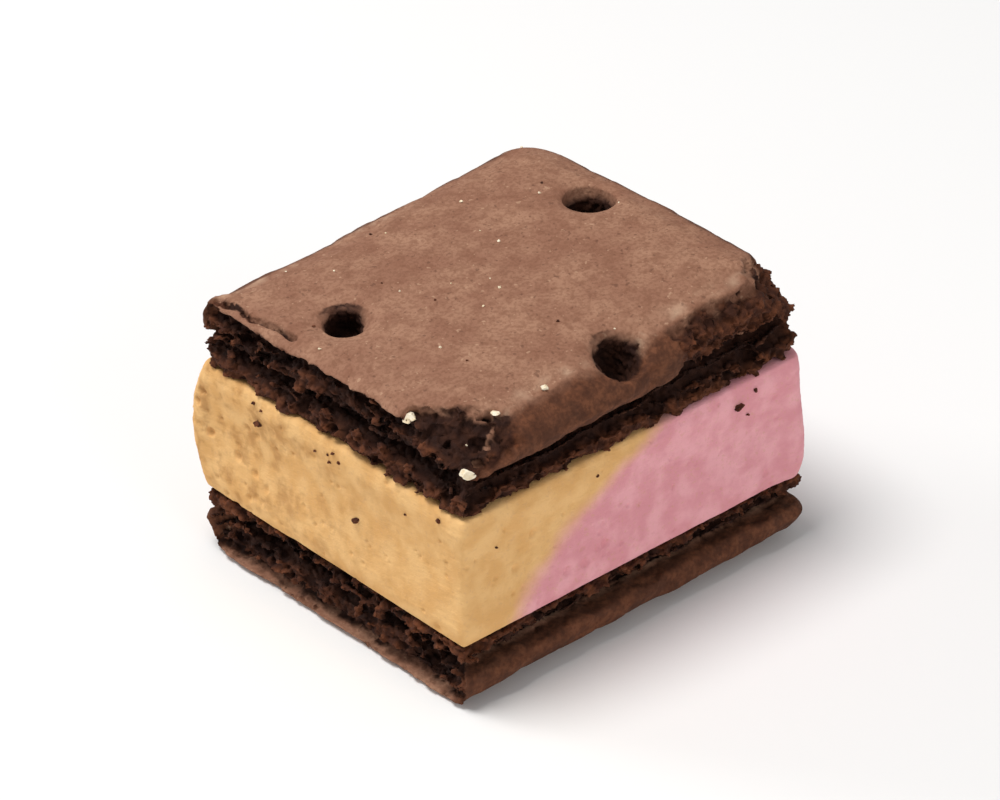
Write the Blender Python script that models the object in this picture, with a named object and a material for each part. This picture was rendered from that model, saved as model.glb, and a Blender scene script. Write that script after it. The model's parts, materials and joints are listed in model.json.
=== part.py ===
"""One cut piece of a freeze-dried ice cream sandwich.

Two baked chocolate wafers hold a slab of dry ice cream: vanilla, then strawberry beyond
a slanting border. The -X and -Y sides were cut and broke open along the wafer's layers.
The +X and +Y sides are the sandwich's own baked edges, and they meet in a round corner.
Metres, +Z up, the origin under the middle of the piece, on the surface that it rests on.
"""

import math

import bmesh
import bpy
from mathutils import Matrix, Vector, noise

MM = 0.001

# Size of the piece
LENGTH = 35.4 * MM
WIDTH = 30.8 * MM
MIDDLE = Vector((18.2 * MM, 15.99 * MM))
BOTTOM_WAFER_THICKNESS = 5.8 * MM
FILLING_THICKNESS = 10.4 * MM
TOP_WAFER_THICKNESS = 7.0 * MM
LAYER_GAP = 0.3 * MM

# The top wafer puffed up as it dried: it rises towards the right and domes in the middle
TOP_RISE_PER_METRE = Vector((0.045, -0.022))
TOP_DOME = 0.7 * MM
TOP_DOME_REACH = 12.0 * MM

# Corners of the outline, seen from above: front, right, back, left
FRONT, RIGHT, BACK, LEFT = range(4)
WAFER_RADII = (0.9 * MM, 1.8 * MM, 5.0 * MM, 1.5 * MM)
FILLING_RADII = (0.6 * MM, 1.6 * MM, 4.6 * MM, 1.3 * MM)
SMALLEST_RADIUS = 0.15 * MM
BOTTOM_WAFER_SPREAD = 0.9 * MM
CORNER_STEPS = 6
BACK_CORNER_STEPS = 9
EDGE_STEPS = 32
SIDE_BLEND_STEPS = 2

# Levels of a wafer's side, from the filling (0) to the outer skin (1). The four insets, in
# millimetres, are those of the front (-Y), right (+X), back (+Y) and left (-X) sides, then
# comes how far the crumb may stick out or fall back. Levels 3 to 6 are the split between
# the crumb and the skin, and levels 7 to 11 are the skin, which curls over the baked sides.
WAFER_LEVELS = (
    (0.00, 0.70, 0.80, 0.80, 0.80, 0.45),
    (0.07, 0.30, 0.35, 0.35, 0.35, 0.60),
    (0.18, 0.20, 0.10, 0.10, 0.25, 0.75),
    (0.29, 0.45, 0.10, 0.10, 0.50, 0.70),
    (0.33, 1.60, 0.30, 0.25, 1.70, 0.85),
    (0.41, 1.75, 0.35, 0.30, 1.90, 0.85),
    (0.46, 0.45, 0.10, 0.05, 0.75, 0.55),
    (0.60, 0.10, 0.05, 0.05, 0.60, 0.50),
    (0.75, 0.35, 0.45, 0.45, 0.55, 0.35),
    (0.87, 1.05, 1.15, 1.15, 0.20, 0.12),
    (0.95, 2.05, 2.15, 2.15, 0.55, 0.00),
    (1.00, 3.90, 4.00, 4.00, 1.60, 0.00),
)
CROWN_INSETS = (5.8 * MM, 8.6 * MM, 11.8 * MM)
SPLIT_TOP = 0.46
SPLIT_WAVE = 0.45 * MM
SKIN_WAVE = 0.16 * MM

# Levels of the filling's side: the cut faces dried slightly hollow, and the outer ones bulge
FILLING_LEVELS = (
    (0.00, 0.60, -0.75, 0.35, 0.60, 0.06),
    (0.09, 0.40, -1.15, -0.25, 0.45, 0.10),
    (0.30, 0.60, -1.10, -1.05, 0.60, 0.12),
    (0.52, 0.75, -0.85, -1.45, 0.75, 0.12),
    (0.72, 0.65, -0.55, -1.15, 0.65, 0.12),
    (0.91, 0.40, -0.25, -0.25, 0.40, 0.10),
    (1.00, 0.60, 0.15, 0.40, 0.60, 0.06),
)

# Where the flavours meet, measured from the front corner along the front side
FLAVOUR_BORDER_AT_BOTTOM = 5.6 * MM
FLAVOUR_BORDER_AT_TOP = 19.6 * MM

# Skin broken off the top wafer's corners, measured along each corner's diagonal
CHIPS = ((FRONT, 5.8 * MM), (RIGHT, 4.6 * MM))
CHIP_ROUGHNESS = 0.22
CHIP_STEEPNESS = 0.6

# Pin holes pricked in each wafer before baking, in staggered rows
HOLE_PITCH = 24.4 * MM
HOLE_ROW = 17.0 * MM
HOLE_ROW_SKEW = -0.6 * MM
FIRST_HOLE = Vector((5.4 * MM, 19.2 * MM))
BOTTOM_FIRST_HOLE = Vector((8.0 * MM, 22.4 * MM))
HOLE_SIDES = 14

# A pin hole's height above the skin and its radius there, in millimetres, mouth first
HOLE_RADII = ((1.2, 2.9), (0.15, 1.95), (-0.45, 1.35), (-3.2, 0.95))

# The skin bends down along the front side, so a hole in the bend lies lower and leans out
BEND_WIDTH = 3.0 * MM
BEND_DROP = 1.1 * MM
BEND_LEAN = math.radians(32)

# Grain of the broken crumb
CRUMB_SIZE = 2.3 * MM
CRUMB_HEIGHT = 16 * MM
WAVE_SIZE = 5.5 * MM


def start_clean():
    """Removes what the scene holds."""
    for thing in list(bpy.data.objects):
        bpy.data.objects.remove(thing)


def srgb(red, green, blue):
    """A colour given in 0 to 255 steps, as the linear values that a shader takes."""
    def linear(step):
        value = step / 255
        return value / 12.92 if value <= 0.04045 else ((value + 0.055) / 1.055) ** 2.4
    return (linear(red), linear(green), linear(blue), 1.0)


def finish(name, colour, roughness):
    """A matt food surface."""
    material = bpy.data.materials.new(name)
    material.use_nodes = True
    shader = material.node_tree.nodes["Principled BSDF"]
    shader.inputs["Base Color"].default_value = colour
    shader.inputs["Roughness"].default_value = roughness
    shader.inputs["Metallic"].default_value = 0.0
    return material


def corner_points(spread=0.0):
    """Front, right, back and left corners; spread moves the baked right side outwards."""
    return (
        Vector((0, 0)),
        Vector((LENGTH + spread, 0)),
        Vector((LENGTH + spread, WIDTH)),
        Vector((0, WIDTH)),
    )


def outline_steps():
    """Each step round the outline: its corner, whether it is on the arc, and how far."""
    steps = []
    for corner in range(4):
        arc = BACK_CORNER_STEPS if corner == BACK else CORNER_STEPS
        steps += [(corner, True, step / (arc - 1)) for step in range(arc)]
        steps += [(corner, False, step / EDGE_STEPS) for step in range(1, EDGE_STEPS)]
    return steps


def side_shares(steps):
    """For each step, how much it belongs to the front, right, back and left sides."""
    sharp = []
    for corner, on_arc, fraction in steps:
        share = [0.0] * 4
        share[corner] = fraction if on_arc else 1.0
        share[corner - 1] += 1 - fraction if on_arc else 0.0
        sharp.append(share)
    window = range(-SIDE_BLEND_STEPS, SIDE_BLEND_STEPS + 1)
    return [
        [sum(sharp[(at + by) % len(sharp)][side] for by in window) / len(window) for side in range(4)]
        for at in range(len(sharp))
    ]


def arc_point(corners, radii, corner, fraction, inset):
    """A point on a rounded corner of the outline, moved in by inset."""
    here = corners[corner]
    along_in = (here - corners[corner - 1]).normalized()
    along_out = (corners[(corner + 1) % 4] - here).normalized()
    out_in = Vector((along_in.y, -along_in.x))
    out_out = Vector((along_out.y, -along_out.x))
    radius = max(radii[corner] - inset, SMALLEST_RADIUS)
    centre = here - (inset + radius) * (out_in + out_out) / (1 + out_in.dot(out_out))
    return centre + radius * out_in.slerp(out_out, fraction)


def outline_point(corners, radii, step, inset):
    """A point of the outline, moved in by inset."""
    corner, on_arc, fraction = step
    if on_arc:
        return arc_point(corners, radii, corner, fraction, inset)
    start = arc_point(corners, radii, corner, 1, inset)
    end = arc_point(corners, radii, (corner + 1) % 4, 0, inset)
    return start.lerp(end, fraction)


def crumb(point, height, seed, size=CRUMB_SIZE):
    """Uneven crumb, from -1 to 1, the same on each run."""
    return noise.noise(Vector((point.x, point.y, height)) / size + Vector((seed, seed, seed)))


def chipped(point, height, corners, seed):
    """The point moved in where the skin broke off a corner, further the nearer the top."""
    share = (height - SPLIT_TOP) / (1 - SPLIT_TOP)
    if share <= 0:
        return point
    middle = (corners[FRONT] + corners[BACK]) / 2
    for corner, depth in CHIPS:
        inward = (middle - corners[corner]).normalized()
        reached = (point - corners[corner]).dot(inward)
        rough = 1 + CHIP_ROUGHNESS * crumb(point, height * depth, seed)
        point = point + inward * max(0, depth * share ** CHIP_STEEPNESS * rough - reached)
    return point


def level_ring(level, corners, radii, steps, shares, seed):
    """The plan points of one level, with its crumb."""
    height, *insets, grain = level
    ring = []
    for step, share in zip(steps, shares):
        inset = sum(part * side for part, side in zip(share, insets)) * MM
        plain = outline_point(corners, radii, step, inset)
        grained = inset - grain * MM * crumb(plain, height * CRUMB_HEIGHT, seed)
        ring.append(outline_point(corners, radii, step, grained))
    return ring


def skin_height(point, inset):
    """How far the top wafer's skin stands above its plain thickness."""
    rise = TOP_RISE_PER_METRE.dot(point - Vector((LENGTH, WIDTH)) / 2)
    reach = min(inset / TOP_DOME_REACH, 1)
    dome = TOP_DOME * (1 - (1 - reach) ** 2)
    return rise + dome + SKIN_WAVE * crumb(point, 0, 3.7, WAVE_SIZE)


def wafer_rings(spread, seed, is_top):
    """Rings of a wafer from its filling side to the middle of its skin, as 3-D points
    whose heights are measured from the filling side."""
    corners = corner_points(spread)
    steps = outline_steps()
    shares = side_shares(steps)
    thickness = TOP_WAFER_THICKNESS if is_top else BOTTOM_WAFER_THICKNESS
    crown = [(1.0, *[inset / MM] * 4, 0.0) for inset in CROWN_INSETS] if is_top else []
    rings = []
    for level in (*WAFER_LEVELS, *crown):
        height = level[0]
        plan = level_ring(level, corners, WAFER_RADII, steps, shares, seed)
        if is_top:
            plan = [chipped(point, height, corners, seed) for point in plan]
        wave = SPLIT_WAVE * math.sin(math.pi * height)
        ring = []
        for point in plan:
            lift = thickness * height + wave * crumb(point, 0, seed, WAVE_SIZE)
            if is_top:
                lift += height * skin_height(point, level[1] * MM)
            ring.append((point.x, point.y, lift))
        rings.append(ring)
    return rings


def solid_from_rings(name, rings, material):
    """A closed body through the rings, each with the same number of points."""
    mesh = bpy.data.meshes.new(name)
    form = bmesh.new()
    loops = [[form.verts.new(place) for place in ring] for ring in rings]
    for below, above in zip(loops, loops[1:]):
        for at in range(len(below)):
            after = (at + 1) % len(below)
            form.faces.new((below[at], below[after], above[after], above[at]))
    form.faces.new(list(reversed(loops[0])))
    form.faces.new(loops[-1])
    bmesh.ops.triangulate(form, faces=form.faces)
    bmesh.ops.recalc_face_normals(form, faces=form.faces)
    form.to_mesh(mesh)
    form.free()
    mesh.materials.append(material)
    body = bpy.data.objects.new(name, mesh)
    bpy.context.scene.collection.objects.link(body)
    return body


def pin_cutter(name, place, lean, points_down):
    """The shape that a docking pin leaves: a dished mouth and a tapering hole."""
    turn = Matrix.Rotation(lean, 3, "X")
    if points_down:
        turn = Matrix.Rotation(math.pi, 3, "X")
    rings = []
    for height, radius in reversed(HOLE_RADII):
        ring = []
        for side in range(HOLE_SIDES):
            angle = math.tau * side / HOLE_SIDES
            spot = Vector((radius * math.cos(angle), radius * math.sin(angle), height)) * MM
            ring.append(place + turn @ spot)
        rings.append(ring)
    cutter = solid_from_rings(name, rings, None)
    cutter.hide_render = True
    cutter.display_type = "WIRE"
    return cutter


def prick(wafer, places, points_down):
    """Cuts the pin holes into a wafer. A hole on the bend of the front side leans out."""
    for number, place in enumerate(places, 1):
        lean = BEND_LEAN if place.y + MIDDLE.y < BEND_WIDTH else 0.0
        cutter = pin_cutter(f"{wafer.name}_pin_{number}", place, lean, points_down)
        cut = wafer.modifiers.new(f"pin_hole_{number}", "BOOLEAN")
        cut.operation = "DIFFERENCE"
        cut.solver = "EXACT"
        cut.object = cutter


def placed(rings, base, upwards):
    """The rings set at their height, with the origin under the middle of the piece."""
    turn = 1 if upwards else -1
    rings = [
        [(x - MIDDLE.x, y - MIDDLE.y, base + turn * z) for x, y, z in ring] for ring in rings
    ]
    return rings if upwards else rings[::-1]


def hole_places(first, height_at):
    """The staggered pin holes of one wafer, on its skin."""
    second = first + Vector((HOLE_PITCH, HOLE_ROW_SKEW))
    third = first + Vector((HOLE_PITCH / 2, -HOLE_ROW))
    return [
        Vector((spot.x - MIDDLE.x, spot.y - MIDDLE.y, height_at(spot)))
        for spot in (first, second, third)
    ]


def make_bottom_wafer():
    """The wafer underneath, skin down, flat where it rests."""
    rings = wafer_rings(BOTTOM_WAFER_SPREAD, seed=11.3, is_top=False)
    colour = finish("baked_chocolate_wafer_bottom", srgb(161, 115, 86), 0.85)
    base = BOTTOM_WAFER_THICKNESS
    wafer = solid_from_rings("bottom_wafer", placed(rings, base, False), colour)
    prick(wafer, hole_places(BOTTOM_FIRST_HOLE, lambda spot: 0.0), points_down=True)


def make_top_wafer():
    """The wafer on top, puffed up, with its skin broken off at two corners."""
    base = BOTTOM_WAFER_THICKNESS + FILLING_THICKNESS + 2 * LAYER_GAP
    rings = wafer_rings(0.0, seed=4.1, is_top=True)
    colour = finish("baked_chocolate_wafer_top", srgb(159, 116, 92), 0.85)
    wafer = solid_from_rings("top_wafer", placed(rings, base, True), colour)

    def skin_at(spot):
        inset = min(spot.x, spot.y, LENGTH - spot.x, WIDTH - spot.y)
        bend = BEND_DROP if inset < BEND_WIDTH else 0.0
        return base + TOP_WAFER_THICKNESS + skin_height(spot, inset) - bend

    prick(wafer, hole_places(FIRST_HOLE, skin_at), points_down=False)


def flavour(name, colour, keeps_front):
    """The part of the filling on one side of the slanting border."""
    steps = outline_steps()
    shares = side_shares(steps)
    corners = corner_points()
    rings = []
    for level in FILLING_LEVELS:
        plan = level_ring(level, corners, FILLING_RADII, steps, shares, seed=7.9)
        rings.append([(point.x, point.y, level[0] * FILLING_THICKNESS) for point in plan])
    base = BOTTOM_WAFER_THICKNESS + LAYER_GAP
    body = solid_from_rings(name, placed(rings, base, True), finish(name, colour, 0.9))

    slant = Vector((FLAVOUR_BORDER_AT_TOP - FLAVOUR_BORDER_AT_BOTTOM, 0, FILLING_THICKNESS))
    across = slant.normalized().cross(Vector((0, 1, 0)))
    away = -across if across.x < 0 else across
    foot = Vector((FLAVOUR_BORDER_AT_BOTTOM - MIDDLE.x, 0, base))
    shift = LAYER_GAP / 2 * (-1 if keeps_front else 1)
    form = bmesh.new()
    form.from_mesh(body.data)
    bmesh.ops.bisect_plane(
        form,
        geom=form.verts[:] + form.edges[:] + form.faces[:],
        plane_co=foot + away * shift,
        plane_no=away,
        clear_outer=keeps_front,
        clear_inner=not keeps_front,
    )
    open_edges = [edge for edge in form.edges if edge.is_boundary]
    cut_face = bmesh.ops.contextual_create(form, geom=open_edges)["faces"]
    bmesh.ops.triangulate(form, faces=cut_face)
    bmesh.ops.recalc_face_normals(form, faces=form.faces)
    form.to_mesh(body.data)
    form.free()
    return body


def shade(body):
    """Smooth faces with crisp edges where the crumb broke."""
    body.data.shade_smooth()
    body.data.set_sharp_from_angle(angle=math.radians(38))


def main():
    start_clean()
    make_bottom_wafer()
    flavour("vanilla_filling", srgb(225, 196, 132), keeps_front=True)
    flavour("strawberry_filling", srgb(222, 160, 168), keeps_front=False)
    make_top_wafer()
    for body in bpy.context.scene.objects:
        if not body.hide_render:
            shade(body)


main()
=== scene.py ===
# %% [markdown]
# # A freeze-dried ice cream sandwich
# One cut piece: two baked chocolate wafers with dry vanilla and strawberry ice cream between them. Its
# plain solids come in as a fixed frame, so every size is settled. This script gives them the surface of
# the real food: broken crumb, baked skin, chalky ice cream and loose crumbs.

# %% Load the frame
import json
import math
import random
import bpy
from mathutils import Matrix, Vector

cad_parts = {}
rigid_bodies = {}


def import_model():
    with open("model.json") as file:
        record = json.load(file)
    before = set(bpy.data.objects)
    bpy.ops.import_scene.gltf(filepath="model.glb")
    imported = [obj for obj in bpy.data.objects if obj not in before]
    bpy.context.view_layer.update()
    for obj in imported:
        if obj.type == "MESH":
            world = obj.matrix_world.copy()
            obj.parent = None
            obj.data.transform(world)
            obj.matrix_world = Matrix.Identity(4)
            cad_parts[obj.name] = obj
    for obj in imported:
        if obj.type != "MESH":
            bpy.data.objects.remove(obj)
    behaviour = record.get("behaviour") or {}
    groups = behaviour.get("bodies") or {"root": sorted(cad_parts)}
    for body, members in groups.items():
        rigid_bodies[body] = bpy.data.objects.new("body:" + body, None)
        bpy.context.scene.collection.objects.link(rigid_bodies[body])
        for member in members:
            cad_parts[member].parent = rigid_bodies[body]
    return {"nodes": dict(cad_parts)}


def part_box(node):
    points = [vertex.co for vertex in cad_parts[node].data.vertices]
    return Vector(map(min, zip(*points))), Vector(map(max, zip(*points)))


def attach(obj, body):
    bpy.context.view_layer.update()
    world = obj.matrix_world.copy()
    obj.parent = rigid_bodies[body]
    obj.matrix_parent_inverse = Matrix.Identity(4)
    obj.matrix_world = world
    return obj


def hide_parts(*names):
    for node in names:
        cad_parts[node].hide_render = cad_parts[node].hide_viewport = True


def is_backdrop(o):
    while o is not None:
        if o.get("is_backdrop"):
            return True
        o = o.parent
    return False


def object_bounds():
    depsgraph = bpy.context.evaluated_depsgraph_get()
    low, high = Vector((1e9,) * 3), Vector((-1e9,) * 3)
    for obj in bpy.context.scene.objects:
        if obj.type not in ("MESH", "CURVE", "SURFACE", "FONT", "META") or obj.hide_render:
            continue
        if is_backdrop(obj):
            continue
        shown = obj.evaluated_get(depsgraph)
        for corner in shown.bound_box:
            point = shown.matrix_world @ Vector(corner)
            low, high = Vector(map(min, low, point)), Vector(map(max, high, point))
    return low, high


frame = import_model()
cad_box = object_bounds()

# %% [markdown]
# ## Sizes
# All numbers are metres in the frame's axes, and most places are told from the four sides. The left (-X)
# and front (-Y) sides were cut, and broke open. The right (+X) and back (+Y) sides are baked edges.

# %% Measure the solids
from types import SimpleNamespace

import bmesh
import bpy
import numpy as np
from mathutils import Matrix, Vector, noise

MM = 0.001
LEFT_SIDE = -18.2 * MM
FRONT_SIDE = -16.0 * MM
RIGHT_SIDE = 17.2 * MM
BACK_SIDE = 14.8 * MM
MIDDLE = Vector(((LEFT_SIDE + RIGHT_SIDE) / 2, (FRONT_SIDE + BACK_SIDE) / 2))

for name in sorted(frame["nodes"]):
    low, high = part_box(name)
    print(name, "measures", [round(side / MM, 1) for side in high - low], "mm")

# %% [markdown]
# ## Working as by hand
# Blender's operators act on whatever is selected, so each step first selects just what it works on. A
# modifier is applied as soon as it is added, because the next step needs its mesh.

# %% Select and apply
def pick(*things):
    """Selects only these objects, the first one active."""
    bpy.ops.object.select_all(action="DESELECT")
    for thing in things:
        thing.select_set(True)
    bpy.context.view_layer.objects.active = things[0]


def edit(piece, mode="VERT"):
    """Opens a piece in edit mode, with everything selected."""
    pick(piece)
    bpy.ops.object.mode_set(mode="EDIT")
    bpy.ops.mesh.select_mode(type=mode)
    bpy.ops.mesh.select_all(action="SELECT")


def end_edit():
    """Back to object mode, which writes the edits to the mesh."""
    bpy.ops.object.mode_set(mode="OBJECT")


def remove(piece):
    """Deletes a helper object that has done its work."""
    pick(piece)
    bpy.ops.object.delete()


def new_object(name, data):
    """A new object in the scene."""
    thing = bpy.data.objects.new(name, data)
    bpy.context.scene.collection.objects.link(thing)
    return thing


def modify(piece, kind, **settings):
    """Adds a modifier and applies it."""
    pick(piece)
    modifier = piece.modifiers.new(kind.lower(), kind)
    for setting, value in settings.items():
        setattr(modifier, setting, value)
    bpy.ops.object.modifier_apply(modifier=modifier.name)


def triangles(piece):
    """How many triangles a piece has."""
    piece.data.calc_loop_triangles()
    return len(piece.data.loop_triangles)


print("the solids have", sum(triangles(node) for node in frame["nodes"].values()), "triangles")

# %% [markdown]
# ## Copies of the solids
# Every large piece starts as a copy of its solid, so it can't end up in another place or at another size.
# The copy's doubled vertices are merged, or it would come apart along its edges.

# %% Copy solids
def copy_nodes(name, *nodes):
    """A new piece from the merged copies of these solids."""
    copies = []
    for node in nodes:
        piece = new_object(name, frame["nodes"][node].data.copy())
        piece.data.materials.clear()
        copies.append(piece)
    pick(*copies)
    if len(copies) > 1:
        bpy.ops.object.join()
    edit(copies[0])
    bpy.ops.mesh.remove_doubles(threshold=0.001 * MM)
    bpy.ops.mesh.customdata_custom_splitnormals_clear()
    end_edit()
    print(name, "starts with", triangles(copies[0]), "triangles")
    return copies[0]


# %% [markdown]
# ## Sculpting with a rule
# No two spots of broken crumb or dry ice cream are alike. A sculptor would use textured brushes. Here
# noise does the same: each vertex moves by an amount worked out from its place, and the same place always
# gives the same amount.

# %% Noise
PIT_SCATTER = 7.31
CREASE_STEEPNESS = 4


def rough(spot, size, shift=0.0, flat=1.0):
    """Smooth noise from -1 to 1 with lumps of this size. flat above 1 presses them into layers."""
    place = Vector((spot.x, spot.y, spot.z * flat)) / size
    return noise.noise(place + Vector((shift, -shift, shift * 0.5)))


def pits(spot, spacing, radius, shift=0.0, share=1.0):
    """How deep in a round pit this place is, from 0 to 1. A number drawn from its centre lets it exist."""
    distances, centres = noise.voronoi(spot / spacing + Vector((shift, shift, shift)))
    if abs(noise.cell(centres[0] * PIT_SCATTER)) > share:
        return 0.0
    return max(0.0, 1.0 - (distances[0] * spacing / radius) ** 2)


def creases(spot, size, flat=1.0):
    """1 in the creases between angular lumps of this size, 0 on the lumps."""
    distances, _ = noise.voronoi(Vector((spot.x, spot.y, spot.z * flat)) / size)
    return 1 - min(1.0, (distances[1] - distances[0]) * CREASE_STEEPNESS)


def smoothstep(low, high, value):
    """0 below low, 1 above high, and a soft step between."""
    part = min(1.0, max(0.0, (value - low) / (high - low)))
    return part * part * (3 - 2 * part)


def fade(low, high, value):
    """1 below low, 0 above high, and a soft step between."""
    return 1 - smoothstep(low, high, value)


print("noise at three places:", [round(rough(Vector((x, 0, 0)) * MM, 2 * MM), 2) for x in (1, 2, 3)])

# %% [markdown]
# ## The sculpting tool
# One helper does all the sculpting. It works out where every vertex goes before it moves any, so that a
# normal isn't spoilt by a neighbour's move. Broken layers move only sideways, since lifting them would
# change the wafer's thickness.

# %% Move vertices
def sculpt(piece, push, level=False):
    """Moves each vertex by what push(spot, normal) says: along its normal, or only sideways."""
    mesh = piece.data
    places = []
    for vertex in mesh.vertices:
        spot, normal = vertex.co, vertex.normal
        way = Vector((normal.x, normal.y, 0)) if level else normal
        places.extend(spot + way * push(spot, normal))
    mesh.vertices.foreach_set("co", places)
    mesh.update()
    print(piece.name, "sculpted over", len(mesh.vertices), "vertices")


# %% [markdown]
# ## The border between the flavours
# Vanilla and strawberry meet along a flat face that leans from the bottom left to the top right. It is
# worked out once, since joining, painting and cutting the ice cream all need it.

# %% Find the border
BORDER_AT_BOTTOM = 5.6 * MM + LEFT_SIDE
BORDER_AT_TOP = 19.6 * MM + LEFT_SIDE
filling_low, filling_high = (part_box("vanilla_filling")[end].z for end in (0, 1))
border_foot = Vector((BORDER_AT_BOTTOM, 0, filling_low))
slant = Vector((BORDER_AT_TOP - BORDER_AT_BOTTOM, 0, filling_high - filling_low))
towards_strawberry = Vector((0, 1, 0)).cross(slant).normalized()
print("the border leans by", round(math.degrees(slant.angle(Vector((0, 0, 1))))), "degrees")

# %% [markdown]
# ## The ice cream's body
# In the frame the flavours are two solids with a hair's gap, but the real ones froze together. So the
# copy joins them: the faces that look at each other are deleted and the open rims bridged. The top and
# bottom then move out until they bite into the wafers, so that no gap shows.

# %% Join the flavours
BITE = 0.4 * MM
NEAR = 0.25 * MM
FACING = 0.98
SAME_LEVEL = 0.01 * MM


def select_where(piece, wanted):
    """In edit mode, selects only the faces that wanted(face) picks."""
    form = bmesh.from_edit_mesh(piece.data)
    chosen = [face for face in form.faces if wanted(face)]
    for face in form.faces:
        face.select_set(False)
    for face in chosen:
        face.select_set(True)
    bmesh.update_edit_mesh(piece.data)
    return len(chosen)


def on_border(face):
    """Whether a face looks across the gap between the flavours."""
    off = (face.calc_center_median() - border_foot).dot(towards_strawberry)
    return abs(face.normal.dot(towards_strawberry)) > FACING and abs(off) < NEAR


ice_cream = copy_nodes("ice_cream", "vanilla_filling", "strawberry_filling")
edit(ice_cream, "FACE")
print("deleting", select_where(ice_cream, on_border), "faces between the flavours")
bpy.ops.mesh.delete(type="FACE")
bpy.ops.mesh.select_mode(type="EDGE")
bpy.ops.mesh.select_non_manifold(extend=False)
bpy.ops.mesh.bridge_edge_loops()
bpy.ops.mesh.select_mode(type="FACE")
for level, move in ((filling_high, BITE), (filling_low, -BITE)):
    select_where(ice_cream, lambda face: all(abs(v.co.z - level) < SAME_LEVEL for v in face.verts))
    bpy.ops.transform.translate(value=(0, 0, move))
bpy.ops.mesh.select_all(action="SELECT")
bpy.ops.mesh.normals_make_consistent(inside=False)
end_edit()

# %% [markdown]
# ## Grids and thinning
# Pores and crumb need a fine, even grid, which a voxel remesh gives. A coarser one is enough for the
# layers and splits, which come first. Once all is carved, the smooth parts don't need so many triangles,
# and a piece stays small enough to be shown anywhere.

# %% Grid size and thinning
FINE = 0.15 * MM
COARSE = 1.3 * FINE
MOST_TRIANGLES = 190_000


def regrid(piece, cell, rounds):
    """Builds the surface anew on an even grid and smooths it this many times."""
    modify(piece, "REMESH", mode="VOXEL", voxel_size=cell)
    modify(piece, "SMOOTH", factor=0.5, iterations=rounds)


def thin_out(piece):
    """Takes triangles away where the surface is smooth."""
    found = triangles(piece)
    if found > MOST_TRIANGLES:
        modify(piece, "DECIMATE", ratio=MOST_TRIANGLES / found, use_collapse_triangulate=True)
    print(piece.name, "has", triangles(piece), "triangles, from", found)


print("the grids' cells are", round(COARSE / MM, 2), "and", round(FINE / MM, 2), "mm wide")

# %% [markdown]
# ## The ice cream's surface
# Freeze-dried ice cream is a chalky foam. A knife went through it, so its sides are flat, with faint drag
# lines and open pores. The left end was torn more than cut, so deeper pits opened there. Smoothing first
# takes away the solid's facets.

# %% Carve the ice cream
FACET_ROUNDS = 26
regrid(ice_cream, FINE, FACET_ROUNDS)


def chalk(spot, normal):
    """Waves, drag lines, pores and torn pits of dry ice cream."""
    upright = fade(0.5, 0.9, abs(normal.z))
    waves = 0.10 * MM * rough(spot, 6.0 * MM, 3.1) + 0.02 * MM * rough(spot, 1.7 * MM, 8.2)
    drag = 0.03 * MM * rough(spot, 1.1 * MM, 1.7, flat=5.0)
    grain = 0.02 * MM * rough(spot, 0.42 * MM, 5.5)
    pores = -0.15 * MM * pits(spot, 0.9 * MM, 0.24 * MM, 2.3, share=0.3)
    left_end = smoothstep(1.0 * MM, 12.0 * MM, spot.y) * fade(-15.0 * MM, -12.0 * MM, spot.x)
    torn_here = max(0.8 * left_end, 0.6 * smoothstep(0.15, 0.5, rough(spot, 4.5 * MM, 9.4)))
    torn = -0.45 * MM * torn_here * pits(spot, 1.25 * MM, 0.5 * MM, 6.1, share=0.5)
    return upright * (waves + drag + grain + pores + torn)


sculpt(ice_cream, chalk)
thin_out(ice_cream)

# %% [markdown]
# ## The wafers' own measure
# The top wafer rises towards the right, where it puffed up, so heights are told as a share of its own
# thickness at that place: 0 at the ice cream, 1 at the skin. Skin ends at the lip on the left, and at the
# main split on the other sides. turn is 1 for skin on top and -1 for skin underneath, rise is how much
# thicker the wafer gets along X and Y, and peeled is the length of the strip that lost its skin. Each of
# the chips, which are corners that broke off, has its place in X, the way inwards and its reach.

# %% Wafer facts
SPLIT = 0.44
WAFERS = {
    "top_wafer": SimpleNamespace(
        filling_side=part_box("top_wafer")[0].z, turn=1, thickness=7.0 * MM, rise=Vector((0.045, -0.022)),
        right=RIGHT_SIDE, lip=0.93, peeled=13.0 * MM,
        chips=((LEFT_SIDE, 1, 5.8 * MM), (RIGHT_SIDE, -1, 4.6 * MM)),
        first_hole=Vector((-12.8 * MM, 3.2 * MM)), leans=((-0.36, -0.39), (0, 0), (0, -0.62)),
        widths=(0.84, 1.1, 0.84),
    ),
    "bottom_wafer": SimpleNamespace(
        filling_side=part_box("bottom_wafer")[1].z, turn=-1, thickness=5.8 * MM, rise=Vector((0, 0)),
        right=RIGHT_SIDE + 0.9 * MM, lip=0.89, peeled=0.0,
        chips=(),
        first_hole=Vector((-10.2 * MM, 6.4 * MM)), leans=((0, 0), (0, 0), (0, 0)),
        widths=(1.0, 0.9, 1.0),
    ),
}


def height_share(spot, wafer):
    """0 at the ice cream, 1 at the skin."""
    rise = wafer.rise.dot(Vector((spot.x, spot.y)) - MIDDLE)
    return wafer.turn * (spot.z - wafer.filling_side) / (wafer.thickness + rise)


def side_depths(spot, wafer):
    """How far in from the left, front, right and back sides a place is."""
    return (spot.x - LEFT_SIDE, spot.y - FRONT_SIDE, wafer.right - spot.x, BACK_SIDE - spot.y)


for name, wafer in WAFERS.items():
    print(name, "is", wafer.thickness / MM, "mm thick from", round(wafer.filling_side / MM, 1), "mm")

# %% [markdown]
# ## Where skin broke off
# Two corners of the top wafer lost their skin in a slope down to the split, and from the right one a
# strip peeled off along the front side too. Skin never breaks straight, so noise moves its edge.

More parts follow.
